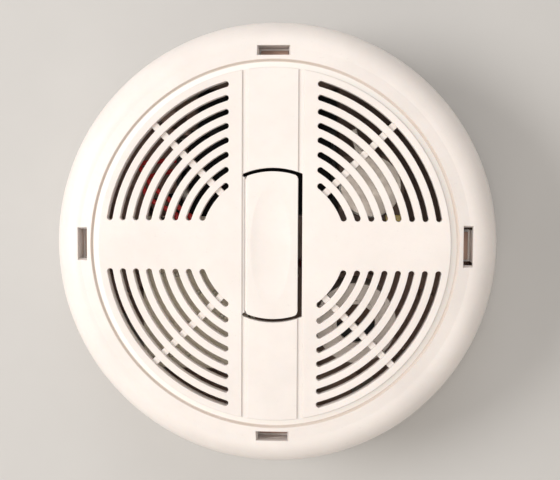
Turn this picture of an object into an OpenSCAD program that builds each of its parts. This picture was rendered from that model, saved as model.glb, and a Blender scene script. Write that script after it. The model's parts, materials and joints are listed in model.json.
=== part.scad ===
/* [Overall] */
// Outer radius of the cover at its bottom edge
cover_r = 70.4; // [70:0.1:71]
// Draft of the cover's side wall, degrees
wall_draft = 2; // [1.5:0.1:2.5]
// Height of the raised panels above the ceiling
top_z = 44; // [43.8:0.1:44.4]
// Radius of the cover's outer shoulder
shoulder_r = 9; // [8:0.1:9.5]
// Thickness of the cover's skin
skin_t = 2.2; // [2:0.1:2.3]

/* [Front face] */
// Height of the raised panels above the face
panel_h = 0.4; // [0.3:0.05:0.6]
// Outer radius of the raised panels
panel_r = 54.2; // [53.8:0.1:54.4]
// Half width of the raised centre strip
strip_half = 7.7; // [7.5:0.05:7.8]
// Outer edge of the two shallow channels
channel_out = 9.5; // [9.3:0.05:9.8]

/* [Vents] */
// Radius of the innermost vent arc
vent_r1 = 23.24; // [23:0.02:23.4]
// Spacing of the vent arcs
vent_pitch = 4; // [3.95:0.01:4.05]
// Width of a vent arc
vent_w = 1.8; // [1.6:0.1:2]
// Distance from the Y axis to the vent ends
vent_x = 13.6; // [13.2:0.1:14]
// Distance from the X axis to the vent ends
vent_y = 7.5; // [7:0.1:8]
// Width of the diagonal rib under the vents
rib_w = 2.15; // [1.8:0.05:2.5]

/* [Test button] */
// Width of the curved gaps above and below the flap
gap_w = 1.1; // [0.9:0.05:1.3]
// Outer edge of the straight gap at the free side
free_gap_x = 9.06; // [8.9:0.02:9.2]
// X of the living hinge line
hinge_x = -8.3; // [-8.4:0.05:-8.2]
// Depth of the finger scoop in the flap
scoop_d = 0.55; // [0.3:0.05:0.7]

/* [Battery] */
// Length of the battery's case
battery_l = 46.4; // [46:0.1:46.6]
// Width of the battery's case
battery_w = 26.5; // [26:0.1:26.6]
// Thickness of the battery's case
battery_t = 17.5; // [17:0.1:17.7]

/* [Ceiling bracket] */
// Distance between the centres of the two screw slots
screw_spacing = 90; // [89:0.5:91]
// Length of a screw slot
slot_len = 10; // [9:0.5:10]
// Width of a screw slot
slot_w = 4.6; // [4.2:0.1:5]
// Turn that frees the alarm from the bracket, degrees
twist_deg = 15; // [14:1:15]

/* [Hidden] */
$fn = 96;
eps = 0.01;

// Bracket and housing levels
bracket_plate = 2;
bracket_r = 69;
bracket_rim = 2.2;
bracket_top = 5.6;
cutout_x0 = -36.2;
cutout_x1 = 19.6;
cutout_y0 = 2;
cutout_y1 = 38.4;
light_hole_y = -30;
light_hole_r = 16;
lip_r = 73.8;
lip_z = 4.4;
lip_a0 = -21.5;
lip_a1 = -1.5;
lug_r = 75.2;
lug_z = 5;
lug_a0 = -32;
lug_a1 = -25.4;
pad_r0 = 52.5;
pad_r1 = 55;
floor_z = 6;
floor_top = 8;
cover_z0 = 6.6;

// Cover profile
face_z = top_z - panel_h;
skin_z = face_z - skin_t;
ring_z_in = top_z - 0.8;
ring_z_out = top_z - 1.4;
slope_r0 = 54.4;
groove_r0 = 56.2;
groove_r1 = 56.45;
flank_r = 56.85;
groove_z = face_z - 1;
shoulder_z = ring_z_out - shoulder_r;
wall_top_r = cover_r - (shoulder_z - cover_z0) * tan(wall_draft);
shoulder_x = wall_top_r - shoulder_r;
tangent_x = shoulder_x + shoulder_r * cos(wall_draft);
tangent_z = shoulder_z + shoulder_r * sin(wall_draft);
wall_t = 2.3;
housing_r = 67.2;
housing_wall_z = 16;
rib_r0 = 50.6;
rib_r1 = 56;
rib_t = 1.6;
rib_z = 18;
step_z = 16.05;

// Vents
vent_count = 8;
vent_rmax = vent_r1 + (vent_count - 1) * vent_pitch;
rib_top = top_z - 0.9;

// Rim windows and snap arms
window_r = 59.6;
window_d = 3;
window_l = 10.8;
window_l_right = 13.3;
window_z = 38.8;
window_splay = 1.2;
arm_r0 = 56.4;
arm_t = 1.8;
arm_l = 8.6;
barb_r = 60.3;
barb_z = 36;
barb_top = 38.6;
catch_z0 = 33.4;
catch_z1 = 35.8;
catch_r0 = 59;
catch_r1 = 62.8;

// Test flap
flap_r = vent_r1 - gap_w / 2;
flap_cut_r = vent_r1 + gap_w / 2;
hinge_r = 0.7;
hinge_gap = 0.05;
hinge_z = face_z - hinge_r;
hinge_half = 20.4;
slot_end_x = -8.8;
crease_x = -8.45;
crease_r = 0.35;
crease_z = face_z + 0.05;
relief_x = hinge_x + 0.7;
scoop_x = -0.6;
scoop_half = 6.2;
scoop_half_l = 18;
scoop_turn = 8;
scoop_r = (scoop_half * scoop_half + scoop_d * scoop_d) / (2 * scoop_d);
scoop_sweep_r = (scoop_half_l * scoop_half_l + scoop_d * scoop_d) / (2 * scoop_d);
plunger_x = 4;
plunger_y = -1.5;
plunger_r = 1.2;
plunger_z = 36.3;

// Circuit board
board_z = 28.4;
board_t = 1.6;
board_top = board_z + board_t;
board_x0 = -43;
board_x1 = 11;
board_y0 = -41;
board_y1 = 8.4;
band_y0 = -8;
tongue_x1 = 41;
tongue_x0 = 20.4;
tongue_y1 = 28;
pad_spots = [[-36.8, 6.4], [-33, 6.6]];
can_spots = [[21.6, 11.4], [23.4, 8.6], [26.6, 5.6]];
horn_spots = [[10, -17], [10, -22], [8, -30]];
capacitor_spots = [[4, -10.5], [4, -25.4]];
ceramic_spots = [[-34.5, -10.5], [-18, -10.5]];
part_row_y = -10.5;
chip_x0 = -24.9;
chip_y = -20;
chip_pins_side = 8;
pin_pitch = 2.54;
pin_row = 3.81;
pin_out = 3.95;
pin_w = 0.6;
pin_t = 0.3;
chip_half_w = 3.2;
chip_half_len = 9.95;
chip_z0 = board_z - 4.2;
chip_z1 = board_z - 0.7;
resistor_x0 = -34;
resistor_y = -31.6;
resistor_step = 5.4;
resistor_span = 5.08;
resistor_n = 6;
dot_r0 = 0.95;
dot_r1 = 0.4;
dot_h = 0.7;
blob_r0 = 1.5;
blob_r1 = 0.9;
blob_h = 1.3;
screw_head_r = 2.6;
screw_head_h = 1.3;
screw_len = 7.5;
screw_cross = 1.6;
screw_cross_w = 0.6;
screw_cross_z = board_top + 0.6;
board_hole_r = 1.6;
board_cut = 6;
screw_spots = [[-38, 1], [0.5, -37], [36, -4.5]];
screw_r = 1.25;
cover_post = [-35, 40.5];
cover_post_z = 27;
relief_post_z = 27.6;
relief_posts = [-38.2, -33.9];
led_x = 9.2;
led_y = -6;
led_z = board_top + 3.2;

// Battery compartment
battery_x1 = 17.5;
battery_x0 = battery_x1 - battery_l;
battery_y0 = 8.25;
battery_y1 = battery_y0 + battery_w;
battery_z0 = floor_top + 0.15;
battery_z1 = battery_z0 + battery_t;
bay_x0 = -35;
bay_x1 = 17.7;
bay_y0 = 8.05;
bay_y1 = 34.95;
bay_wall = 1.6;
bay_z1 = 24;
lead_notch_y0 = 10;
lead_notch_y1 = 33;
lead_notch_z = 14;
terminal_pitch = 12.7;
terminal_y = (battery_y0 + battery_y1) / 2;
terminal_z = battery_z0 + battery_t / 2;

// Battery door and its hinge
door_axis_y = 5.8;
door_axis_z = 7.2;
door_pin_r = 1;
door_bore_r = 1.05;
door_lug_r = 1.5;
door_lugs = [-25, 8];
cheek_r = 1.85;
cheek_half = 1.7;
cheek_w = 3.1;
cheek_x = 3.65;
cheek_top = 9.4;
door_x0 = -34.8;
door_x1 = 17.5;
door_y0 = 7.8;
door_y1 = 35.1;
door_top = 7.8;
opening_y0 = 6.8;
opening_y1 = 35.3;

// Bayonet hooks
hook_r0 = 60;
hook_r1 = 62;
hook_head_r = 57.6;
hook_half_deg = 3.8;
hook_z0 = 8.15;
hook_z1 = 10;
hook_azimuths = [45, 135, 225, 315];
hook_clear = 0.3;

// Smoke chamber
chamber_x = 30;
chamber_y = 18.2;
can_r = 9.2;
tab_a = 107;
tab_len = 9.6;
can_z0 = 31.5;
can_z1 = 39.6;
can_t = 0.4;
can_slot_w = 3;
can_slot_z0 = can_z0 + 2;
can_slot_z1 = can_z0 + 5.6;
can_slot_step = 30;
tab_w = 2.2;
tab_t = 0.5;
tab_lap = 0.3;
base_lip = 0.6;
base_step_r = 6;
base_step_z = can_z0 + 1.5;
base_bore_r = 4.3;
electrode_rim_r = 5.6;
electrode_t = 0.4;
electrode_rim_h = 1.4;
electrode_bore_r = 3.2;
holder_r = 3;
holder_h = 1.2;
source_z0 = can_z0 + 0.9;
source_r = 1.6;
source_t = 0.2;
source_gap = 0.05;

// Horn
horn_x = 25.8;
horn_y = -24.6;
horn_r = 12.6;
horn_wall = 1.6;
horn_z1 = 35.4;
horn_cap_z = 37.4;
horn_hole_r = 6;
horn_bead_w = 1.2;
horn_bead_h = 0.6;
horn_seat_r = 8.6;
horn_seat_h = 1.6;
horn_press_r = 9.4;
horn_door_w = 5;
horn_door_z0 = 18;
horn_door_z1 = 24;
disc_r = 10;
disc_z = 29.6;
disc_t = 0.3;
disc_gap = 0.05;
ceramic_r = 6.8;
ceramic_t = 0.25;

// Test contact
leaf_x = -7;
leaf_z = 36;
leaf_t = 0.4;
leaf_len = 13.5;
leaf_w = 5;
leaf_root_r = 0.6;
contact_x = 5.5;
contact_top = 33.7;

// Leads: face of the battery pad and soldering spots on the board
pad_x = battery_x0 - 4.6;
red_ends = [[-30.6, 3.4, board_top], [-25.6, 3, board_top]];
black_end = [-21, 2.4, board_top];
lead_r = 0.8;
horn_lead_r = 0.5;
bend_r = 1.6;
bend_lap = 0.05;

// Node to draw, or all

// A point turned about the Z axis
function turned(p, a) = [p[0] * cos(a) - p[1] * sin(a), p[0] * sin(a) + p[1] * cos(a)];

// Ring sector between two radii, centred on an azimuth
module sector(r0, r1, z0, z1, a0, a1) {
    rotate([0, 0, a0])
        rotate_extrude(angle = a1 - a0)
            translate([r0, z0])
                square([r1 - r0, z1 - z0]);
}

// Flat ring
module ring(r0, r1, z0, z1) {
    translate([0, 0, z0])
        difference() {
            cylinder(r = r1, h = z1 - z0);
            translate([0, 0, -1])
                cylinder(r = r0, h = z1 - z0 + 2);
        }
}

// Box between two corners
module box(a, b) {
    translate(a)
        cube([b[0] - a[0], b[1] - a[1], b[2] - a[2]]);
}

// Cylinder standing at a point
module post(x, y, z0, z1, r) {
    translate([x, y, z0])
        cylinder(r = r, h = z1 - z0);
}

// Cylinder along X
module rod_x(x0, x1, y, z, r) {
    translate([x0, y, z])
        rotate([0, 90, 0])
            cylinder(r = r, h = x1 - x0);
}

// Cylinder along Y
module rod_y(x, y0, y1, z, r) {
    translate([x, y1, z])
        rotate([90, 0, 0])
            cylinder(r = r, h = y1 - y0);
}

// Slot along X with round ends
module slot_2d(x, y, len, w) {
    translate([x - (len - w) / 2, y])
        circle(r = w / 2);
    translate([x + (len - w) / 2, y])
        circle(r = w / 2);
    translate([x - (len - w) / 2, y - w / 2])
        square([len - w, w]);
}

function unit(v) = v / norm(v);

// Length of straight wire taken up by the bend between two directions
function bend_len(d0, d1) = bend_r * tan(acos(d0 * d1) / 2);

// Bend in a wire at a point, from one direction to another
module bend(p, d0, d1, r) {
    n = unit(cross(d0, d1));
    c = p - d0 * bend_len(d0, d1) + cross(n, d0) * bend_r;
    x = cross(d0, n);
    multmatrix([[x[0], d0[0], n[0], c[0]], [x[1], d0[1], n[1], c[1]], [x[2], d0[2], n[2], c[2]],
        [0, 0, 0, 1]])
        rotate_extrude(angle = acos(d0 * d1), $fn = 64)
            translate([bend_r, 0])
                circle(r = r * 1.04, $fn = 24);
}

// Wire through a list of points, rounded at each inner point
module wire(points, r) {
    last = len(points) - 2;
    dirs = [for (i = [0 : last]) unit(points[i + 1] - points[i])];
    cut = [for (i = [0 : last - 1]) bend_len(dirs[i], dirs[i + 1]) - bend_lap];
    for (i = [0 : last]) {
        d = dirs[i];
        p0 = points[i] + (i > 0 ? d * cut[i - 1] : [0, 0, 0]);
        p1 = points[i + 1] - (i < last ? d * cut[i] : [0, 0, 0]);
        translate(p0)
            rotate([0, atan2(norm([d[0], d[1]]), d[2]), atan2(d[1], d[0])])
                cylinder(r = r, h = norm(p1 - p0), $fn = 24);
    }
    for (i = [1 : last])
        bend(points[i], dirs[i - 1], dirs[i], r);
}

module mounting_bracket() {
    a0 = [cutout_x0, cutout_y0];
    b0 = [cutout_x1, cutout_y0];
    c0 = [cutout_x1, cutout_y1];
    d0 = [cutout_x0, cutout_y1];
    color([0.86, 0.84, 0.78])
        union() {
            difference() {
                linear_extrude(height = bracket_plate)
                    difference() {
                        circle(r = bracket_r);
                        polygon([turned(a0, twist_deg), b0, c0, turned(c0, twist_deg), d0,
                            turned(d0, twist_deg)]);
                        slot_2d(screw_spacing / 2, 0, slot_len, slot_w);
                        slot_2d(-screw_spacing / 2, 0, slot_len, slot_w);
                        translate([0, light_hole_y])
                            circle(r = light_hole_r);
                    }
            }
            difference() {
                ring(bracket_r - bracket_rim, bracket_r, bracket_plate - eps, bracket_top);
                for (a = [20 : 40 : 340])
                    rotate([0, 0, a + 3])
                        box([bracket_r - 4, -4, bracket_top - 1.6], [bracket_r + 2, 4, bracket_top + 1]);
            }
            // Wider lip and index lug at the edge
            sector(bracket_r - 1, lip_r, 0, lip_z, lip_a0, lip_a1);
            sector(bracket_r - 1, lug_r, 0, lug_z, lug_a0, lug_a1);
            for (a = hook_azimuths) {
                sector(hook_r0, hook_r1, bracket_plate - eps, hook_z1, a - hook_half_deg,
                    a + hook_half_deg);
                sector(hook_head_r, hook_r0 + eps, hook_z0, hook_z1, a - hook_half_deg,
                    a + hook_half_deg);
            }
            // Bearing pads for the alarm
            for (a = [0 : 60 : 300])
                sector(pad_r0, pad_r1, bracket_plate - eps, floor_z - 0.05, a - 4, a + 4);
        }
}

module snap_arm() {
    translate([0, -arm_l / 2, 0])
        rotate([90, 0, 0])
            mirror([0, 0, 1])
                linear_extrude(height = arm_l)
                    polygon([[arm_r0 - 1.6, floor_top - eps], [arm_r0 + arm_t, floor_top - eps],
                        [arm_r0 + arm_t, barb_z], [barb_r, barb_z], [barb_r, barb_z + 0.5],
                        [arm_r0 + arm_t, barb_top], [arm_r0 + 0.3, barb_top],
                        [arm_r0, barb_z - 4]]);
}

// Bearing block of the battery door's hinge
module hinge_cheek(x) {
    rod_x(x - cheek_w / 2, x + cheek_w / 2, door_axis_y, door_axis_z, cheek_r);
    box([x - cheek_w / 2, door_axis_y - cheek_half, door_axis_z],
        [x + cheek_w / 2, door_axis_y + cheek_half, cheek_top]);
}

module rear_housing() {
    color([0.8, 0.77, 0.7])
        difference() {
            union() {
                ring(hook_r0 - 12, housing_r, floor_z, floor_top);
                post(0, 0, floor_z, floor_top, hook_r0 - 11);
                ring(housing_r - 1.8, housing_r, floor_top - eps, housing_wall_z);
                for (a = [0 : 90 : 270])
                    rotate([0, 0, a])
                        snap_arm();
                // Walls round the battery
                difference() {
                    box([bay_x0 - bay_wall, bay_y0 - bay_wall, floor_top - eps],
                        [bay_x1 + bay_wall, bay_y1 + bay_wall, bay_z1]);
                    box([bay_x0, bay_y0, floor_top - 1], [bay_x1, bay_y1, bay_z1 + 1]);
                    box([bay_x0 - bay_wall - 1, lead_notch_y0, lead_notch_z],
                        [bay_x0 + 1, lead_notch_y1, bay_z1 + 1]);
                }
                // Bars that hold the battery down
                for (x = [-20, 8])
                    difference() {
                        box([x - 2, bay_y0 - bay_wall, bay_z1 - eps],
                            [x + 2, bay_y1 + bay_wall, battery_z1 + 1.4]);
                        box([x - 3, bay_y0 + 1.2, bay_z1 - 1], [x + 3, bay_y1 - 1.2, battery_z1 + 2]);
                        box([x - 3, bay_y0, bay_z1 - 1], [x + 3, bay_y1, battery_z1 + 0.05]);
                    }
                // Posts under the board
                for (p = screw_spots)
                    post(p[0], p[1], floor_top - eps, board_z, 3);
                // Cover post and strain relief posts
                post(cover_post[0], cover_post[1], floor_top - eps, cover_post_z, 2.8);
                for (x = relief_posts)
                    post(x, bay_y0 - 0.45, floor_top - eps, relief_post_z, 1.3);
                // Seat of the horn
                translate([horn_x, horn_y, 0])
                    ring(horn_r + 0.05, horn_r + 1.6, floor_top - eps, 12);
                // Bearings of the door hinge
                for (x = door_lugs)
                    for (s = [-1, 1])
                        hinge_cheek(x + s * cheek_x);
                // Stiffening ribs on the floor
                for (a = [200 : 20 : 340])
                    rotate([0, 0, a])
                        box([rib_r0, -rib_t / 2, floor_top - eps], [rib_r1, rib_t / 2, rib_z]);
            }
            box([bay_x0, opening_y0, floor_z - 1], [bay_x1, opening_y1, floor_top + eps]);
            for (x = door_lugs) {
                box([x - 2.1, 3.9, 4], [x + 2.1, 8.2, 9.7]);
                rod_x(x - 5, x + 5, door_axis_y, door_axis_z, door_bore_r);
            }
            for (p = screw_spots)
                post(p[0], p[1], board_z - 9, board_z + 1, screw_r + 0.02);
            // Bayonet slots with their entry openings
            for (a = hook_azimuths) {
                sector(hook_r0 - hook_clear, hook_r1 + hook_clear, floor_z - 1, floor_top + 1,
                    a - twist_deg - hook_half_deg - 0.6, a + hook_half_deg + 0.6);
                sector(hook_head_r - hook_clear, hook_r0, floor_z - 1, floor_top + 1,
                    a - twist_deg - hook_half_deg - 0.6, a - twist_deg + hook_half_deg + 0.6);
            }
            // Vents in the side wall
            for (a = [6 : 12 : 354])
                rotate([0, 0, a])
                    box([housing_r - 3, -3, 10], [housing_r + 1, 3, 14]);
        }
}

module cover_outer_2d() {
    polygon([[0, cover_z0], [cover_r, cover_z0], [tangent_x, tangent_z], [shoulder_x, shoulder_z],
        [shoulder_x, ring_z_out], [flank_r, ring_z_in], [groove_r1, groove_z],
        [groove_r0, groove_z], [slope_r0, face_z], [0, face_z]]);
    translate([shoulder_x, shoulder_z])
        circle(r = shoulder_r, $fn = 128);
}

module cover_inner_2d() {
    r_in = cover_r - wall_t;
    polygon([[0, cover_z0 - 1], [r_in, cover_z0 - 1], [r_in - 0.35, step_z], [r_in - 1.9, step_z],
        [r_in - 1.9, step_z + 2], [tangent_x - wall_t, 24], [tangent_x - wall_t, shoulder_z],
        [shoulder_x, shoulder_z], [shoulder_x, ring_z_out - wall_t], [flank_r, ring_z_out - wall_t],
        [slope_r0 - 2, groove_z - 2], [slope_r0 - 3, skin_z], [0, skin_z]]);
    translate([shoulder_x, shoulder_z])
        circle(r = shoulder_r - wall_t, $fn = 128);
}

module vent_2d(r) {
    a0 = asin((vent_y + vent_w / 2) / r);
    a1 = acos((vent_x + vent_w / 2) / r);
    far = r + 30;
    intersection() {
        difference() {
            circle(r = r + vent_w / 2);
            circle(r = r - vent_w / 2);
        }
        polygon([[0, 0], turned([far, 0], a0), turned([far, 0], (a0 + a1) / 2), turned([far, 0], a1)]);
    }
    for (a = [a0, a1])
        rotate(a)
            translate([r, 0])
                circle(r = vent_w / 2 * 1.04, $fn = 32);
}

module vents_2d() {
    for (sx = [0, 1])
        for (sy = [0, 1])
            mirror([sx, 0])
                mirror([0, sy])
                    for (k = [0 : vent_count - 1])
                        vent_2d(vent_r1 + k * vent_pitch);
}

module panels_2d() {
    difference() {
        circle(r = panel_r);
        translate([-channel_out, -60])
            square([2 * channel_out, 120]);
    }
    intersection() {
        circle(r = panel_r);
        translate([-strip_half, -60])
            square([2 * strip_half, 120]);
    }
}

// Opening that the flap sits in, with the curved gaps' round ends
module flap_opening_2d() {
    end_a = acos(slot_end_x / vent_r1);
    intersection() {
        circle(r = flap_cut_r);
        translate([hinge_x, -flap_cut_r])
            square([free_gap_x - hinge_x, 2 * flap_cut_r]);
    }
    for (s = [0, 1])
        mirror([0, s]) {
            intersection() {
                difference() {
                    circle(r = flap_cut_r);
                    circle(r = flap_r);
                }
                polygon([[0, 0], turned([2 * flap_r, 0], end_a), [0, 2 * flap_r]]);
            }
            rotate(end_a)
                translate([vent_r1, 0])
                    circle(r = gap_w / 2 * 1.04, $fn = 32);
        }
}

// Half-round crease along the flap's hinge
module crease() {
    rod_y(crease_x, -hinge_half, hinge_half, crease_z, crease_r);
}

module front_cover() {
    color([0.92, 0.9, 0.84])
        difference() {
            union() {
                difference() {
                    union() {
                        rotate_extrude()
                            difference() {
                                cover_outer_2d();
                                cover_inner_2d();
                            }
                        translate([0, 0, face_z - 0.2])
                            linear_extrude(height = panel_h + 0.2)
                                panels_2d();
                    }
                    translate([0, 0, skin_z - 1])
                        linear_extrude(height = skin_t + panel_h + 2)
                            vents_2d();
                }
                // Diagonal ribs that bridge the vents
                for (a = [45 : 90 : 315])
                    rotate([0, 0, a])
                        box([vent_r1 - 2, -rib_w / 2, skin_z - 1.2],
                            [vent_rmax + 1.6, rib_w / 2, rib_top]);
                // Catches for the housing's snap arms
                for (a = [0 : 90 : 270])
                    rotate([0, 0, a]) {
                        box([catch_r0 + 2, -5, catch_z0], [catch_r1, 5, ring_z_out - wall_t + 0.6]);
                        box([catch_r0, -5, catch_z0], [catch_r1, 5, catch_z1]);
                    }
            }
            translate([0, 0, skin_z - 1])
                linear_extrude(height = skin_t + panel_h + 2)
                    flap_opening_2d();
            rod_y(hinge_x, -hinge_half - 0.6, hinge_half + 0.6, hinge_z, hinge_r + hinge_gap);
            crease();
            for (a = [0 : 90 : 270])
                rotate([0, 0, a])
                    window(a == 0 ? window_l_right : window_l);
        }
}

// Rim window, narrower towards the inside
module window(len) {
    translate([window_r - window_d / 2, 0, 0])
        rotate([90, 0, 90])
            linear_extrude(height = window_d)
                polygon([[-len / 2, top_z], [len / 2, top_z], [len / 2 - window_splay, window_z],
                    [window_splay - len / 2, window_z]]);
}

// Outline of the flap up to its free edge, with eased corners
module flap_2d(x1) {
    side = [[x1, hinge_half], [x1 - 0.3, hinge_half + 0.8], [x1 - 2.3, hinge_half + 2.4],
        [hinge_x + 1, hinge_half + 2.4], [hinge_x, hinge_half]];
    other = [for (i = [4 : -1 : 0]) [side[i][0], -side[i][1]]];
    intersection() {
        circle(r = flap_r);
        polygon(concat(side, other));
    }
}

// Shallow hollow that fades out at its sides and ends
module finger_scoop() {
    translate([scoop_x, 0, top_z - scoop_d + scoop_sweep_r])
        rotate([0, 90, 0])
            rotate([0, 0, -scoop_turn / 2])
                rotate_extrude(angle = scoop_turn, $fn = 1440)
                    translate([scoop_sweep_r - scoop_r, 0])
                        circle(r = scoop_r, $fn = 256);
}

module test_button() {
    color([0.92, 0.9, 0.84])
        difference() {
            union() {
                translate([0, 0, skin_z + 0.2])
                    linear_extrude(height = skin_t - 0.2)
                        flap_2d(strip_half);
                translate([0, 0, face_z - 0.2])
                    linear_extrude(height = panel_h + 0.2)
                        intersection() {
                            flap_2d(strip_half);
                            translate([-strip_half, -flap_r])
                                square([2 * strip_half, 2 * flap_r]);
                        }
                rod_y(hinge_x, -hinge_half, hinge_half, hinge_z, hinge_r);
                post(plunger_x, plunger_y, plunger_z, skin_z + 1, plunger_r);
                // Stiffening ribs under the flap
                for (y = [-12, 12])
                    box([-5, y - 0.6, skin_z - 1.4], [6, y + 0.6, skin_z + 0.4]);
            }
            finger_scoop();
            crease();
            // Room under the bead for the flap's swing
            box([hinge_x - 1, -flap_r, skin_z], [relief_x, flap_r, hinge_z - hinge_r]);
        }
}

module battery_door() {
    color([0.8, 0.77, 0.7])
        difference() {
            union() {
                box([door_x0, door_y0, floor_z], [door_x1, door_y1, door_top]);
                for (x = door_lugs) {
                    rod_x(x - 1.9, x + 1.9, door_axis_y, door_axis_z, door_lug_r);
                    rod_x(x - 5, x + 5, door_axis_y, door_axis_z, door_pin_r);
                    box([x - 1.9, door_axis_y, floor_z + 0.1], [x + 1.9, door_y0 + 1, door_top]);
                }
                // Thumb tab at the free edge
                box([-15, door_y1 - 3, floor_z - 1.1], [-3, 37.4, floor_z - 0.1]);
                box([-15, door_y1 - 3, floor_z - 0.2], [-3, door_y1, floor_z + 0.2]);
                // Ribs that bear on the battery
                for (x = [-18, 4])
                    box([x - 0.8, 10, door_top - eps], [x + 0.8, 33, battery_z0 - 0.02]);
            }
            // Polarity recesses
            for (y = [15.15, 27.85])
                post(-29.5, y, floor_z - 1, floor_z + 0.4, 2.6);
        }
}

module battery() {
    color([0.12, 0.11, 0.11])
        union() {
            box([battery_x0 + 1.5, battery_y0, battery_z0 + 1.5],
                [battery_x1 - 0.6, battery_y1, battery_z1 - 1.5]);
            box([battery_x0 + 1.5, battery_y0 + 1.5, battery_z0],
                [battery_x1 - 0.6, battery_y1 - 1.5, battery_z1]);
            for (y = [battery_y0 + 1.5, battery_y1 - 1.5])
                for (z = [battery_z0 + 1.5, battery_z1 - 1.5])
                    rod_x(battery_x0 + 1.5, battery_x1 - 0.6, y, z, 1.5);
            box([battery_x0, battery_y0 + 0.8, battery_z0 + 0.8],
                [battery_x1, battery_y1 - 0.8, battery_z1 - 0.8]);
        }
}

module battery_terminals() {
    color([0.75, 0.74, 0.7])
        for (s = [-1, 1]) {
            translate([0, s * terminal_pitch / 2, 0]) {
                rod_x(battery_x0 - 2, battery_x0, terminal_y, terminal_z, s > 0 ? 2.7 : 3.6);
                rod_x(battery_x0 - 2.4, battery_x0 - 2 + eps, terminal_y, terminal_z,
                    s > 0 ? 2.9 : 3.9);
            }
        }
}

module battery_snap() {
    color([0.1, 0.1, 0.1])
        difference() {
            box([pad_x, terminal_y - 12, terminal_z - 5.6],
                [battery_x0 - 2.95, terminal_y + 12, terminal_z + 5.6]);
            for (s = [-1, 1])
                rod_x(battery_x0 - 3.5, battery_x0 - 2, terminal_y + s * terminal_pitch / 2, terminal_z,
                    4.3);
        }
}

module snap_contacts() {
    color([0.8, 0.79, 0.75])
        for (s = [-1, 1])
            translate([0, terminal_y + s * terminal_pitch / 2, terminal_z])
                rotate([0, 90, 0])
                    translate([0, 0, battery_x0 - 3.5])
                        difference() {
                            cylinder(r = 4.3, h = 2.4);
                            translate([0, 0, 0.5])
                                cylinder(r = s > 0 ? 2.95 : 3.95, h = 3);
                        }
}

module red_leads() {
    color([0.75, 0.12, 0.08]) {
        wire([[pad_x, 26.8, 21.4], [pad_x - 2.6, 26.8, 21.4], [-45.2, 25.4, 28.6],
            [-39.8, 18, 31.8], [-27.2, 8.4, 32.4], red_ends[1] + [0, 0, 2.6], red_ends[1]],
            lead_r);
        wire([[pad_x, 23, 21.4], [pad_x - 2.6, 23, 21.4], [-44.6, 20.4, 28.6],
            [-41, 14, 31.8], [-31.8, 9, 32.4], red_ends[0] + [0, 0, 2.6], red_ends[0]],
            lead_r);
    }
}

module black_lead() {
    color([0.08, 0.08, 0.08])
        wire([[pad_x, 15, 18], [pad_x - 2.6, 15, 18], [-42.6, 12.6, 26.8], [-38.4, 8, 34.6],
            [-26, 5.6, 35], black_end + [0, 0, 4.2], black_end], lead_r);
}

module circuit_board() {
    color([0.78, 0.66, 0.46])
        translate([0, 0, board_z])
            linear_extrude(height = board_t)
                difference() {
                    polygon([[board_x0 + board_cut, board_y0], [board_x1, board_y0],
                        [board_x1, band_y0], [tongue_x1, band_y0],
                        [tongue_x1, tongue_y1 - board_cut], [tongue_x1 - board_cut, tongue_y1],
                        [tongue_x0, tongue_y1], [tongue_x0, board_y1], [board_x0, board_y1],
                        [board_x0, board_y0 + board_cut]]);
                    for (p = screw_spots)
                        translate(p)
                            circle(r = board_hole_r);
                }
}

module board_screws() {
    color([0.7, 0.7, 0.68])
        for (p = screw_spots)
            difference() {
                union() {
                    post(p[0], p[1], board_top, board_top + screw_head_h, screw_head_r);
                    post(p[0], p[1], board_z - screw_len, board_top + eps, screw_r);
                }
                for (a = [0, 90])
                    translate(p)
                        rotate([0, 0, a])
                            box([-screw_cross, -screw_cross_w / 2, screw_cross_z],
                                [screw_cross, screw_cross_w / 2, board_top + 2]);
            }
}

module solder_dot(x, y) {
    translate([x, y, board_top])
        cylinder(r1 = dot_r0, r2 = dot_r1, h = dot_h, $fn = 32);
}

module solder_joints() {
    color([0.75, 0.75, 0.72]) {
        for (i = [0 : chip_pins_side - 1])
            for (s = [-1, 1])
                solder_dot(chip_x0 + i * pin_pitch, chip_y + s * pin_row);
        for (i = [0 : resistor_n - 1])
            for (s = [-1, 1])
                solder_dot(resistor_x0 + i * resistor_step, resistor_y + s * resistor_span);
        for (x = [-37, -32, -20.5, -15.5, 1.5, 6.5])
            solder_dot(x, part_row_y);
        for (p = horn_spots)
            solder_dot(p[0], p[1]);
        for (x = [-2.5, 2.5])
            solder_dot(x, -30);
        for (p = pad_spots)
            translate([p[0], p[1], board_top])
                cylinder(r1 = blob_r0, r2 = blob_r1, h = blob_h);
        for (p = can_spots)
            solder_dot(p[0], p[1]);
    }
}

module control_chip() {
    color([0.1, 0.1, 0.1])
        difference() {
            translate([chip_x0 + 8.85, chip_y, 0])
                box([-chip_half_len, -chip_half_w, chip_z0], [chip_half_len, chip_half_w, chip_z1]);
            post(chip_x0 - 1.1, chip_y, chip_z0 - 0.8, chip_z0 + 0.8, 1.2);
        }
}

module chip_pins() {
    color([0.78, 0.78, 0.76])
        for (i = [0 : chip_pins_side - 1])
            for (s = [-1, 1]) {
                x = chip_x0 + i * pin_pitch;
                y0 = s > 0 ? chip_y + chip_half_w : chip_y - chip_half_w - 1;
                y1 = chip_y + s * pin_out - pin_t / 2;
                box([x - pin_w, y0, board_z - 2.6], [x + pin_w, y0 + 1, board_z - 2.3]);
                box([x - pin_w / 2, y1, board_z - 2.6], [x + pin_w / 2, y1 + pin_t, board_z]);
            }
}

module electrolytic_capacitors() {
    color([0.12, 0.14, 0.3])
        for (p = capacitor_spots)
            translate(p)
                difference() {
                    post(0, 0, board_z - 11.5, board_z, 4);
                    ring(3.4, 5, board_z - 10.4, board_z - 9.9);
                }
}

module ceramic_capacitors() {
    color([0.75, 0.5, 0.2])
        for (p = ceramic_spots)
            rod_y(p[0], p[1] - 1.1, p[1] + 1.1, board_z - 4.4, 3);
}

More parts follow.
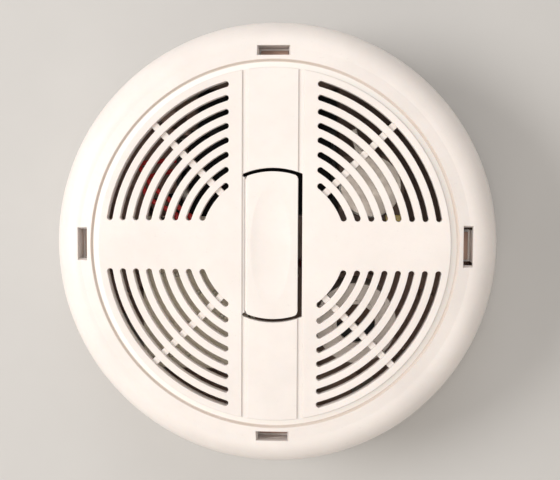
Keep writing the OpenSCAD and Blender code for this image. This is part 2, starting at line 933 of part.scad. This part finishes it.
module film_capacitor() {
    color([0.85, 0.72, 0.3])
        box([34.9, 6.4, board_top], [41.3, 9.3, board_top + 6]);
}

module resistors() {
    color([0.78, 0.68, 0.5])
        for (i = [0 : 5]) {
            x = -34 + i * 5.4;
            rod_y(x, -34.75, -28.45, board_z - 1.5, 1.15);
        }
}

module component_leads() {
    color([0.8, 0.8, 0.78]) {
        for (i = [0 : 5])
            for (s = [-1, 1]) {
                x = -34 + i * 5.4;
                y0 = s > 0 ? -28.45 : -36.68;
                rod_y(x, y0, y0 + 1.55, board_z - 1.5, 0.3);
                post(x, -31.6 + s * 5.08, board_z - 1.7, board_z, 0.3);
            }
        for (x = [-37, -32, -20.5, -15.5])
            post(x, -10.5, board_z - 2.34, board_z, 0.3);
        for (y = [-7.27, -4.73])
            post(led_x, y, board_top, led_z, 0.3);
    }
}

module status_led() {
    color([0.8, 0.1, 0.08])
        translate([led_x, led_y, led_z])
            union() {
                cylinder(r = 1.9, h = 1);
                cylinder(r = 1.5, h = 3.8);
                translate([0, 0, 3.8])
                    sphere(r = 1.49, $fn = 48);
            }
}

module chamber_base() {
    color([0.9, 0.9, 0.88])
        translate([chamber_x, chamber_y, 0])
            difference() {
                union() {
                    post(0, 0, board_top, can_z0, can_r + base_lip);
                    post(0, 0, board_top, base_step_z, base_step_r);
                }
                post(0, 0, can_z0, base_step_z + 0.5, base_bore_r);
            }
}

module chamber_can() {
    color([0.82, 0.8, 0.74])
        translate([chamber_x, chamber_y, 0])
            difference() {
                union() {
                    difference() {
                        post(0, 0, can_z0, can_z1, can_r);
                        post(0, 0, can_z0 - 1, can_z1 - can_t, can_r - can_t);
                    }
                    rotate([0, 0, tab_a])
                        box([can_r - tab_lap, -tab_w / 2, can_z0],
                            [can_r + tab_len, tab_w / 2, can_z0 + tab_t]);
                }
                for (a = [0 : can_slot_step : 359])
                    rotate([0, 0, a])
                        box([can_r - 2, -can_slot_w / 2, can_slot_z0],
                            [can_r + 2, can_slot_w / 2, can_slot_z1]);
            }
}

module chamber_electrode() {
    color([0.8, 0.79, 0.75])
        translate([chamber_x, chamber_y, 0])
            difference() {
                union() {
                    post(0, 0, base_step_z, base_step_z + electrode_t, base_step_r);
                    ring(electrode_rim_r, base_step_r, base_step_z + electrode_t / 2,
                        base_step_z + electrode_rim_h);
                }
                post(0, 0, can_z0, base_step_z + 2, electrode_bore_r);
            }
}

module source_holder() {
    color([0.7, 0.69, 0.66])
        translate([chamber_x, chamber_y, 0])
            difference() {
                post(0, 0, can_z0, can_z0 + holder_h, holder_r);
                post(0, 0, source_z0, can_z0 + 2, source_r);
            }
}

module radiation_source() {
    color([0.85, 0.7, 0.3])
        post(chamber_x, chamber_y, source_z0, source_z0 + source_t, source_r - source_gap);
}

module horn_body() {
    color([0.88, 0.87, 0.84])
        translate([horn_x, horn_y, 0])
            difference() {
                union() {
                    ring(horn_r - horn_wall, horn_r, floor_top, horn_z1);
                    ring(horn_seat_r, horn_r - 0.5, disc_z - horn_seat_h, disc_z);
                }
                box([-horn_r - 2, -horn_door_w / 2, horn_door_z0],
                    [-horn_r + 3, horn_door_w / 2, horn_door_z1]);
            }
}

module horn_cap() {
    color([0.88, 0.87, 0.84])
        translate([horn_x, horn_y, 0])
            difference() {
                union() {
                    post(0, 0, horn_z1, horn_cap_z, horn_r);
                    ring(horn_hole_r, horn_hole_r + horn_bead_w, horn_cap_z - eps,
                        horn_cap_z + horn_bead_h);
                    ring(horn_press_r, horn_r - horn_wall, disc_z + disc_t + disc_gap,
                        horn_z1 + eps);
                }
                post(0, 0, disc_z, horn_cap_z + 2, horn_hole_r);
            }
}

module piezo_disc() {
    color([0.8, 0.65, 0.3])
        post(horn_x, horn_y, disc_z, disc_z + disc_t, disc_r);
}

module piezo_element() {
    color([0.9, 0.9, 0.86])
        post(horn_x, horn_y, disc_z - ceramic_t, disc_z, ceramic_r);
}

module horn_leads() {
    color([0.75, 0.12, 0.08]) {
        wire([[10, -17, board_z], [10, -17, 25], [12.2, -23.7, 21.6], [18, -23.7, 21.4],
            [horn_x - 4, -23.7, 25], [horn_x - 4, -23.7, disc_z - 0.25]], horn_lead_r);
        wire([[10, -22, board_z], [10, -22, 25], [12, -26, 20.6], [16.4, -26, 20.4],
            [horn_x - 7.7, -26.6, 24], [horn_x - 7.7, -26.6, disc_z]], horn_lead_r);
    }
}

module contact_leaf() {
    color([0.85, 0.7, 0.35])
        union() {
            box([leaf_x, plunger_y - leaf_w / 2, leaf_z - leaf_t / 2],
                [leaf_x + leaf_len, plunger_y + leaf_w / 2, leaf_z + leaf_t / 2]);
            rod_y(leaf_x, plunger_y - leaf_w / 2, plunger_y + leaf_w / 2, leaf_z, leaf_root_r);
        }
}

module leaf_post() {
    color([0.8, 0.79, 0.75])
        difference() {
            box([leaf_x - 3, plunger_y - 3, board_top], [leaf_x, plunger_y + 3, leaf_z + 1]);
            rod_y(leaf_x, plunger_y - 4, plunger_y + 4, leaf_z, leaf_root_r + 0.05);
        }
}

module test_contact() {
    color([0.85, 0.7, 0.35])
        union() {
            post(contact_x, plunger_y, board_top, contact_top, 0.9);
            post(contact_x, plunger_y, board_top, board_top + 0.8, 1.8);
            post(contact_x, plunger_y, contact_top - 0.7, contact_top, 1.5);
        }
}

mounting_bracket();
rear_housing();
front_cover();
test_button();
battery_door();
battery();
battery_terminals();
battery_snap();
snap_contacts();
red_leads();
black_lead();
circuit_board();
board_screws();
solder_joints();
control_chip();
chip_pins();
electrolytic_capacitors();
ceramic_capacitors();
film_capacitor();
resistors();
component_leads();
status_led();
chamber_base();
chamber_can();
chamber_electrode();
source_holder();
radiation_source();
horn_body();
horn_cap();
piezo_disc();
piezo_element();
horn_leads();
contact_leaf();
leaf_post();
test_contact();
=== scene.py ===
import json
import math

import bpy
from mathutils import Matrix, Vector

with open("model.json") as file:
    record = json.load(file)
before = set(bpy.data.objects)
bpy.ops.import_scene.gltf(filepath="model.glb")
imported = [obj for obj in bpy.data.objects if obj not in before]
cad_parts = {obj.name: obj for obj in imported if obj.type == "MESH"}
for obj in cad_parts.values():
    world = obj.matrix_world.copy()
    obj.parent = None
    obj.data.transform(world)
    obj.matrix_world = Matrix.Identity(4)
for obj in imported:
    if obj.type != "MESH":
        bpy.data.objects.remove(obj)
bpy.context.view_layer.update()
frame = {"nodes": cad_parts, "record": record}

NODES = frame["nodes"]
MM = 0.001

# Lengths are in millimetres, in the part's own frame, unless a comment says otherwise.
TOP_Z = 44.0

# Painted shade: a dark line painted in the groove between the face's panels and the rim
SEAM_R = 56.5
SEAM_HALF = 0.28
SEAM_SOFT = 0.28
SEAM_Z = 38.0
SEAM_SHADE = (0.42, 0.31, 0.23)

# Painted light: the bevel of the panels beside that groove, made lighter
SLOPE_R = 55.3
SLOPE_HALF = 0.75
SLOPE_LIGHT = (0.97, 0.93, 0.89)

# Painted shade: the battery bay inside the housing, painted black
BAY_SHADE_LOW = (-29.0, 8.5, 4.5)
BAY_SHADE_HIGH = (20.0, 52.0, 40.0)
BAY_SHADE_SOFT = 0.8

# Painted shade: a darker quarter of the housing beside the smoke chamber
QUARTER_SHADE_LOW = (16.0, 2.0, 4.5)
QUARTER_SHADE_HIGH = (58.0, 52.0, 40.0)
QUARTER_SHADE_SOFT = 4.0
QUARTER_SHADE_LEVEL = 0.42

# Painted shade: the board painted dark brown under the flap and to the right of it
BOARD_SHADE_LOW = (-10.5, -60.0, 0.0)
BOARD_SHADE_HIGH = (60.0, 60.0, 60.0)
BOARD_SHADE_SOFT = 1.5

# Sounder disc: below this line it is painted black as shade
DISC_SHADE_Y = -25.5
DISC_SHADE_SOFT = 0.6
DISC_SHADE_WAVE = 0.8

# Colours that more than one place uses
COVER = (0.85, 0.80, 0.770)
# Painted shade: the off-white housing plastic given a mauve-brown tone inside, as if in shade
HOUSING_SHADED = (0.58, 0.40, 0.33)
BAY_SHADE_BLACK = (0.012, 0.011, 0.011)
BRACKET = (0.74, 0.68, 0.62)
CORNER_SHADE_TONE = (0.36, 0.29, 0.22)
BOARD_SHADE = (0.17, 0.10, 0.07)
DARK_VINYL = (0.03, 0.03, 0.03)
CERAMIC = (0.80, 0.79, 0.74)
DRAWN_GRAIN = (0.1, 1.0, 1.0)

# Pieces that wear another finish than the one of their material slot
FINISH_OF = {"piezo_disc": "disc_oxide_and_shade", "battery_door": "door_plastic"}

# Camera: distance above the face, sideways offset, aim and turn
CAM_HEIGHT = 271.6
CAM_OFFSET = (18.4, 15.9)
CAM_AIM = (2.26, 1.70)
CAM_LENS = 57.16
CAM_SENSOR = 36.0
CAM_ROLL = math.radians(0.265)
CAM_CLIP = (10.0, 10000.0)

# Lights: place and size in metres, power in watts
LIGHT_TARGET = (0.0, 0.0, 0.03)
LIGHTS = {
    "key_light": {"place": (-0.80, 0.12, 0.72), "size": 0.5, "power": 7.0,
                  "colour": (1.0, 0.97, 0.94)},
    "upper_fill": {"place": (0.05, 0.75, 0.75), "size": 0.6, "power": 1.7,
                   "colour": (0.97, 0.97, 1.0)},
    "lower_fill": {"place": (-0.10, -0.75, 0.75), "size": 0.6, "power": 1.7,
                   "colour": (1.0, 0.92, 0.84)},
    "front_light": {"place": (0.012, 0.022, 0.350), "size": 0.05, "power": 0.13,
                    "colour": (1.0, 0.95, 0.90)},
}
SKY_COLOUR = (1.0, 0.94, 0.87, 1.0)
SKY_STRENGTH = 0.46

# Floor, just below the bracket's back face
FLOOR_Z = -0.05
FLOOR_HALF = 1500.0
FLOOR_LOW = (0.56, 0.555, 0.545)
FLOOR_HIGH = (0.60, 0.595, 0.585)

# The weld closes gaps up to this length
WELD = 0.0001


# ---------------------------------------------------------------- node helpers

class Shader:
    """One node material: build nodes with add() and join them with link()."""

    def __init__(self, name):
        self.mat = bpy.data.materials.new(name)
        self.mat.use_nodes = True
        self.tree = self.mat.node_tree
        self.bsdf = next(n for n in self.tree.nodes if n.type == "BSDF_PRINCIPLED")
        self.coord = self.add("ShaderNodeTexCoord").outputs["Object"]

    def add(self, kind, **props):
        node = self.tree.nodes.new(kind)
        for key, value in props.items():
            setattr(node, key, value)
        return node

    def link(self, out, socket):
        self.tree.links.new(out, socket)

    def noise(self, scale, detail=4.0, rough=0.55, stretch=None, seed=0.0):
        """Noise in object space, moved by its seed and squeezed by stretch."""
        mapping = self.add("ShaderNodeMapping")
        mapping.inputs["Location"].default_value = (seed, seed * 0.37, seed * 0.71)
        if stretch:
            mapping.inputs["Scale"].default_value = stretch
        self.link(self.coord, mapping.inputs["Vector"])
        node = self.add("ShaderNodeTexNoise")
        node.inputs["Scale"].default_value = scale
        node.inputs["Detail"].default_value = detail
        node.inputs["Roughness"].default_value = rough
        self.link(mapping.outputs["Vector"], node.inputs["Vector"])
        return node.outputs["Fac"]

    def ramp(self, fac, low, high, a=0.0, b=1.0):
        """Maps low..high to a..b and holds the ends."""
        node = self.add("ShaderNodeMapRange")
        node.inputs["From Min"].default_value = low
        node.inputs["From Max"].default_value = high
        node.inputs["To Min"].default_value = a
        node.inputs["To Max"].default_value = b
        self.link(fac, node.inputs["Value"])
        return node.outputs["Result"]

    def math(self, op, x, y):
        node = self.add("ShaderNodeMath", operation=op)
        for socket, value in zip(node.inputs, (x, y)):
            if isinstance(value, (int, float)):
                socket.default_value = value
            else:
                self.link(value, socket)
        return node.outputs["Value"]

    def axes(self, vector):
        split = self.add("ShaderNodeSeparateXYZ")
        self.link(vector, split.inputs["Vector"])
        return split.outputs

    def block(self, low, high, soft):
        """1 inside an upright box of the object's own space, 0 outside, with soft sides."""
        inside = 1.0
        for out, a, b in zip(self.axes(self.coord), low, high):
            rise = self.ramp(out, (a - soft) * MM, (a + soft) * MM)
            fall = self.ramp(out, (b - soft) * MM, (b + soft) * MM, 1.0, 0.0)
            inside = self.math("MULTIPLY", inside, self.math("MULTIPLY", rise, fall))
        return inside

    def facing_back(self):
        """1 on faces that look towards the ceiling, 0 on the others."""
        normal = self.axes(self.add("ShaderNodeNewGeometry").outputs["True Normal"])
        return self.ramp(normal["Z"], -0.7, -0.4, 1.0, 0.0)

    def face_ring(self, radius, half):
        """1 in a narrow ring around the face, 0 elsewhere."""
        x, y, z = self.axes(self.coord)
        square = self.math("ADD", self.math("MULTIPLY", x, x), self.math("MULTIPLY", y, y))
        reach = self.math("SQRT", square, 0.0)
        off = self.math("ABSOLUTE", self.math("SUBTRACT", reach, radius * MM), 0.0)
        near = self.ramp(off, half * MM, (half + SEAM_SOFT) * MM, 1.0, 0.0)
        return self.math("MULTIPLY", near, self.ramp(z, SEAM_Z * MM, (SEAM_Z + 1.0) * MM))

    def mix(self, fac, a, b):
        node = self.add("ShaderNodeMix", data_type="RGBA")
        for socket, value in zip((node.inputs[0], node.inputs[6], node.inputs[7]), (fac, a, b)):
            if isinstance(value, (int, float)):
                socket.default_value = value
            elif isinstance(value, tuple):
                socket.default_value = value if len(value) == 4 else (*value, 1.0)
            else:
                self.link(value, socket)
        return node.outputs[2]

    def bump(self, height, strength, depth, edge=0.0, samples=4):
        """Bump from a height, over edges rounded in the shading only."""
        bump = self.add("ShaderNodeBump")
        bump.inputs["Strength"].default_value = strength
        bump.inputs["Distance"].default_value = depth * MM
        self.link(height, bump.inputs["Height"])
        if edge > 0.0:
            bevel = self.add("ShaderNodeBevel", samples=samples)
            bevel.inputs["Radius"].default_value = edge * MM
            self.link(bevel.outputs["Normal"], bump.inputs["Normal"])
        self.link(bump.outputs["Normal"], self.bsdf.inputs["Normal"])


def shade(colour, factor):
    """A colour made lighter or darker."""
    return tuple(min(1.0, c * factor) for c in colour)


def painted_corner_shade(s, cloud, amount):
    """How much painted shade lies in the corners of a piece, from ambient occlusion."""
    ao = s.add("ShaderNodeAmbientOcclusion", samples=6, only_local=True)
    ao.inputs["Distance"].default_value = 1.6 * MM
    shade_depth = s.math("MULTIPLY", s.ramp(ao.outputs["AO"], 0.35, 0.85, 1.0, 0.0), amount)
    return s.math("MULTIPLY", shade_depth, s.ramp(cloud, 0.3, 0.7, 0.6, 1.0))


def groove_light_and_shade(s, tone, cloud):
    """Painted light on the bevel and a painted shade line in the groove, around the face."""
    # Painted light: the bevel beside the groove made lighter
    tone = s.mix(s.face_ring(SLOPE_R, SLOPE_HALF), tone, SLOPE_LIGHT)
    # Painted shade: a dark line in the groove
    groove_shade_line = s.face_ring(SEAM_R, SEAM_HALF)
    groove_shade_line = s.math("MULTIPLY", groove_shade_line, s.ramp(cloud, 0.3, 0.7, 0.35, 0.6))
    return s.mix(groove_shade_line, tone, SEAM_SHADE)


def housing_painted_shade(s, tone, colour):
    """Painted shade inside the housing: a darker quarter and a black bay; faces that look back
    get the off-white of the plastic.
    """
    # Painted shade: a darker quarter beside the smoke chamber
    tone = s.mix(s.block(QUARTER_SHADE_LOW, QUARTER_SHADE_HIGH, QUARTER_SHADE_SOFT), tone, shade(colour, QUARTER_SHADE_LEVEL))
    # Painted shade: the battery bay painted black
    tone = s.mix(s.block(BAY_SHADE_LOW, BAY_SHADE_HIGH, BAY_SHADE_SOFT), tone, BAY_SHADE_BLACK)
    return s.mix(s.facing_back(), tone, BRACKET)


def plastic(name, colour, rough=0.42, corner_shade=0.35, edge=0.25, glow=0.0, gloss=0.5, zone=None):
    """Moulded plastic: fine grain, cloudy tone, scuffs, painted shade in the corners and soft
    edges.

    zone adds the painted light and shade of one place: "face" for the cover, "inside" for the
    housing."""
    s = Shader(name)
    cloud = s.noise(38.0, 5.0, 0.6, seed=1.3)
    speck = s.noise(900.0, 2.0, 0.5, seed=2.1)
    fine = s.noise(2600.0, 3.0, 0.6, seed=0.7)
    scratch = s.noise(420.0, 2.0, 0.5, stretch=(1.0, 0.06, 0.4), seed=4.2)
    tone = s.mix(s.ramp(cloud, 0.35, 0.65), shade(colour, 0.96), shade(colour, 1.04))
    tone = s.mix(s.ramp(speck, 0.66, 0.78, 0.0, 0.25), tone, shade(colour, 0.82))
    if zone == "inside":
        tone = housing_painted_shade(s, tone, colour)
    # Painted shade in the corners, from ambient occlusion
    if corner_shade > 0.0:
        tone = s.mix(painted_corner_shade(s, cloud, corner_shade), tone, CORNER_SHADE_TONE)
    if zone == "face":
        tone = groove_light_and_shade(s, tone, cloud)
    s.link(tone, s.bsdf.inputs["Base Color"])
    s.bsdf.inputs["Specular IOR Level"].default_value = gloss
    worn = s.math("MULTIPLY", s.ramp(scratch, 0.62, 0.74), 0.25)
    level = s.math("ADD", s.ramp(cloud, 0.3, 0.7, rough - 0.06, rough + 0.06),
                   s.math("MULTIPLY", worn, 0.3))
    s.link(level, s.bsdf.inputs["Roughness"])
    height = s.math("ADD", fine, s.math("MULTIPLY", worn, -0.6))
    s.bump(height, 0.35, 0.012, edge, samples=6)
    if glow > 0.0:
        s.bsdf.inputs["Subsurface Weight"].default_value = glow
        s.bsdf.inputs["Subsurface Radius"].default_value = (1.0, 0.7, 0.5)
        s.bsdf.inputs["Subsurface Scale"].default_value = 1.2 * MM
    return s.mat


def metal(name, colour, rough=0.3, grain_stretch=(1.0, 1.0, 1.0), metallic=1.0):
    """Sheet metal or plating: drawn grain, tarnish patches and uneven polish."""
    s = Shader(name)
    patch = s.noise(260.0, 5.0, 0.65, seed=3.1)
    grain = s.noise(2400.0, 3.0, 0.6, stretch=grain_stretch, seed=5.9)
    tone = s.mix(s.ramp(patch, 0.4, 0.75, 0.0, 0.25), colour, shade(colour, 0.55))
    s.link(tone, s.bsdf.inputs["Base Color"])
    s.bsdf.inputs["Metallic"].default_value = metallic
    level = s.math("ADD", s.ramp(patch, 0.3, 0.7, rough - 0.08, rough + 0.12),
                   s.ramp(grain, 0.3, 0.7, -0.05, 0.05))
    s.link(level, s.bsdf.inputs["Roughness"])
    s.bump(grain, 0.3, 0.01, edge=0.1)
    return s.mat


def board_material(name, colour, track):
    """Paper laminate with the copper tracks showing through the lacquer, painted dark brown as
    shade under the flap and to its right.
    """
    s = Shader(name)
    cloud = s.noise(120.0, 5.0, 0.6, seed=2.7)
    fibre = s.noise(1500.0, 4.0, 0.7, stretch=(0.2, 1.0, 1.0), seed=8.3)
    lanes = s.add("ShaderNodeTexVoronoi", feature="DISTANCE_TO_EDGE", distance="CHEBYCHEV")
    lanes.inputs["Scale"].default_value = 240.0
    lanes.inputs["Randomness"].default_value = 0.75
    s.link(s.coord, lanes.inputs["Vector"])
    copper = s.ramp(lanes.outputs["Distance"], 0.10, 0.14, 1.0, 0.0)
    tone = s.mix(s.ramp(cloud, 0.35, 0.65), shade(colour, 0.9), shade(colour, 1.08))
    tone = s.mix(s.math("MULTIPLY", fibre, 0.25), tone, shade(colour, 0.7))
    tone = s.mix(s.math("MULTIPLY", copper, 0.6), tone, track)
    # Painted shade: dark brown under the flap and to the right of it
    tone = s.mix(s.block(BOARD_SHADE_LOW, BOARD_SHADE_HIGH, BOARD_SHADE_SOFT), tone, BOARD_SHADE)
    s.link(tone, s.bsdf.inputs["Base Color"])
    s.link(s.ramp(cloud, 0.3, 0.7, 0.38, 0.55), s.bsdf.inputs["Roughness"])
    s.bump(s.math("ADD", copper, s.math("MULTIPLY", fibre, 0.3)), 0.4, 0.03)
    return s.mat


def disc_material(name, colour, black_shade):
    """Sounder disc: brown oxidised brass darkened as painted shade, painted black as shade
    below a wavy line.
    """
    s = Shader(name)
    wobble = s.noise(160.0, 3.0, 0.5, seed=6.1)
    wave = s.ramp(wobble, 0.3, 0.7, -DISC_SHADE_WAVE * MM, DISC_SHADE_WAVE * MM)
    level = s.math("ADD", s.axes(s.coord)["Y"], wave)
    in_shade = s.ramp(level, (DISC_SHADE_Y - DISC_SHADE_SOFT) * MM, (DISC_SHADE_Y + DISC_SHADE_SOFT) * MM, 1.0, 0.0)
    patch = s.noise(300.0, 4.0, 0.6, seed=3.3)
    tone = s.mix(s.ramp(patch, 0.35, 0.65), shade(colour, 0.8), shade(colour, 1.2))
    # Painted shade: black below the line, dark brown above
    s.link(s.mix(in_shade, tone, black_shade), s.bsdf.inputs["Base Color"])
    s.link(s.ramp(patch, 0.3, 0.7, 0.40, 0.60), s.bsdf.inputs["Roughness"])
    s.bump(patch, 0.3, 0.05)
    return s.mat


def floor_material():
    """Matt pale paint with a faint cloud."""
    s = Shader("floor_paint")
    cloud = s.noise(9.0, 4.0, 0.6, seed=0.4)
    s.link(s.mix(s.ramp(cloud, 0.3, 0.7), FLOOR_LOW, FLOOR_HIGH), s.bsdf.inputs["Base Color"])
    s.bsdf.inputs["Roughness"].default_value = 0.85
    return s.mat


# ---------------------------------------------------------------- finishes

def plastic_finishes():
    return {
        "cover_plastic": plastic("cover_plastic", COVER, rough=0.40, glow=0.15, zone="face"),
        # Painted shade: mauve-brown inside, off-white on the back
        "housing_plastic": plastic("housing_plastic", HOUSING_SHADED, rough=0.5, corner_shade=0.5, gloss=0.25,
                                   zone="inside"),
        "door_plastic": plastic("door_plastic", BRACKET, rough=0.5),
        "bracket_plastic": plastic("bracket_plastic", BRACKET, rough=0.5),
        "chamber_insulator": plastic("chamber_insulator", CERAMIC, rough=0.35),
        "horn_plastic": plastic("horn_plastic", (0.93, 0.86, 0.80), rough=0.45),
    }


def component_finishes():
    def coat(name, colour, rough, **more):
        return plastic(name, colour, rough=rough, corner_shade=0.0, **more)

    return {
        "battery_jacket": coat("battery_jacket", (0.010, 0.010, 0.011), 0.6, gloss=0.15),
        "snap_vinyl": coat("snap_vinyl", DARK_VINYL, 0.6),
        "red_insulation": coat("red_insulation", (0.78, 0.05, 0.05), 0.35, edge=0.0),
        "black_insulation": coat("black_insulation", (0.02, 0.02, 0.02), 0.35, edge=0.0),
        "chip_resin": coat("chip_resin", DARK_VINYL, 0.6),
        "capacitor_sleeve": coat("capacitor_sleeve", (0.03, 0.05, 0.16), 0.25),
        "capacitor_dip": coat("capacitor_dip", (0.62, 0.32, 0.10), 0.25),
        "film_dip": coat("film_dip", (0.80, 0.60, 0.16), 0.25),
        "resistor_coat": coat("resistor_coat", (0.66, 0.52, 0.34), 0.35),
        "led_resin": coat("led_resin", (0.06, 0.006, 0.005), 0.12),
        "piezo_ceramic": coat("piezo_ceramic", CERAMIC, 0.5),
        "board_laminate": board_material("board_laminate", (0.96, 0.85, 0.70),
                                         (0.86, 0.80, 0.60)),
        "disc_oxide_and_shade": disc_material("disc_oxide_and_shade", (0.16, 0.075, 0.040),
                                      (0.010, 0.008, 0.008)),
    }


def metal_finishes():
    return {
        "nickel": metal("nickel", (0.72, 0.70, 0.66), 0.28, DRAWN_GRAIN),
        "screw_steel": metal("screw_steel", (0.60, 0.60, 0.58), 0.35),
        "solder": metal("solder", (0.86, 0.82, 0.70), 0.45, metallic=0.35),
        "can_tinplate": metal("can_tinplate", (0.66, 0.61, 0.56), 0.5, DRAWN_GRAIN, 0.6),
        "source_foil": metal("source_foil", (0.83, 0.66, 0.30), 0.2),
        "contact_brass": metal("contact_brass", (0.80, 0.60, 0.28), 0.3, DRAWN_GRAIN),
    }


def paint_nodes():
    """Gives every piece the finish of its material slot, or its own."""
    materials = {**plastic_finishes(), **component_finishes(), **metal_finishes()}
    slots = {p["node"]: p["material_slot"] for p in frame["record"]["subparts"]}
    for name, obj in NODES.items():
        obj.data.materials.clear()
        obj.data.materials.append(materials[FINISH_OF.get(name, slots[name])])


def weld_slivers(obj):
    """Closes the sliver at the pole of a domed piece."""
    weld = obj.modifiers.new("weld", "WELD")
    weld.merge_threshold = WELD * MM


# ---------------------------------------------------------------- stage

def aim(obj, eye, target, roll=0.0):
    """Points an object's -Z from eye to target, with +Y up in its view."""
    back = (eye - target).normalized()
    right = Vector((0.0, 1.0, 0.0)).cross(back).normalized()
    up = back.cross(right)
    turned_right = right * math.cos(roll) + up * math.sin(roll)
    turned_up = back.cross(turned_right)
    obj.rotation_mode = "QUATERNION"
    basis = [turned_right, turned_up, back]
    obj.rotation_quaternion = Matrix([[v[i] for v in basis] for i in range(3)]).to_quaternion()
    obj.location = eye


def make_camera():
    data = bpy.data.cameras.new("camera")
    cam = bpy.data.objects.new("camera", data)
    bpy.context.scene.collection.objects.link(cam)
    data.sensor_width = CAM_SENSOR
    data.lens = CAM_LENS
    data.clip_start = CAM_CLIP[0] * MM
    data.clip_end = CAM_CLIP[1] * MM
    target = Vector((*CAM_AIM, TOP_Z)) * MM
    eye = Vector((*CAM_OFFSET, TOP_Z + CAM_HEIGHT)) * MM
    aim(cam, eye, target, CAM_ROLL)
    bpy.context.scene.camera = cam


def area_light(name, place, size, power, colour):
    data = bpy.data.lights.new(name, "AREA")
    data.shape = "DISK"
    data.size = size
    data.energy = power
    data.color = colour
    obj = bpy.data.objects.new(name, data)
    bpy.context.scene.collection.objects.link(obj)
    aim(obj, Vector(place), Vector(LIGHT_TARGET))


def make_lights():
    """Soft key from the left, fills from above and below, weak light beside the camera."""
    for name, light in LIGHTS.items():
        area_light(name, **light)
    world = bpy.data.worlds.new("studio")
    world.use_nodes = True
    back = next(n for n in world.node_tree.nodes if n.type == "BACKGROUND")
    back.inputs["Color"].default_value = SKY_COLOUR
    back.inputs["Strength"].default_value = SKY_STRENGTH
    bpy.context.scene.world = world


def make_floor():
    half, level = FLOOR_HALF * MM, FLOOR_Z * MM
    mesh = bpy.data.meshes.new("floor")
    sides = ((-half, -half), (half, -half), (half, half), (-half, half))
    corners = [(x, y, level) for x, y in sides]
    mesh.from_pydata(corners, [], [(0, 1, 2, 3)])
    obj = bpy.data.objects.new("floor", mesh)
    bpy.context.scene.collection.objects.link(obj)
    mesh.materials.append(floor_material())


paint_nodes()
weld_slivers(NODES["status_led"])
make_camera()
make_lights()
make_floor()
bpy.context.scene.view_settings.view_transform = "Standard"
